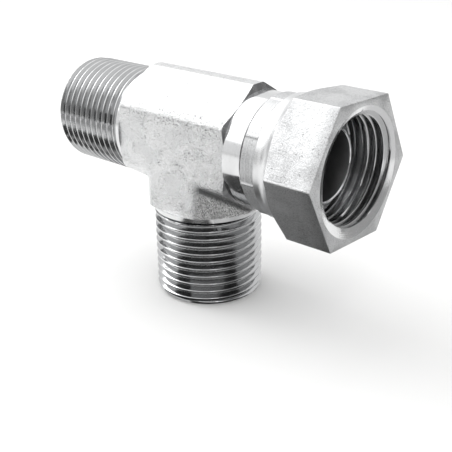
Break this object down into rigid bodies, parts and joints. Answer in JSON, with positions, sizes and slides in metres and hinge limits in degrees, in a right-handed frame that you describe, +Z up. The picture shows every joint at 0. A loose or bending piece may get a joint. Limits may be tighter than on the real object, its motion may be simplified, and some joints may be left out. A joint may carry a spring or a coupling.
{
  "type": "threaded tee",
  "caption": "Hydraulic tee with a forged six-sided body, male threaded run end and branch, and a crimped hexagon swivel nut with a female thread.",
  "frame": {"origin": "where the axes of the run and of the branch cross, inside the body", "axes": "+X along the run towards the swivel nut, -Z along the branch, +Z up when the tee stands on its branch"},
  "size_m": [0.0845, 0.0366, 0.0567],
  "materials": {
    "plated_forging": "zinc-plated forging, satin flats with fine grain, turned threads",
    "plated_nut": "zinc-plated hexagon, satin flats, bright turned neck"
  },
  "bodies": {
    "tee": {"tee_body": "plated_forging"},
    "nut": {"swivel_nut": "plated_nut"}
  },
  "joints": [
    {"name": "nut_swivel", "type": "hinge", "parent": "tee", "child": "nut", "pos_m": [0, 0, 0], "axis": [1, 0, 0], "continuous": true}
  ]
}
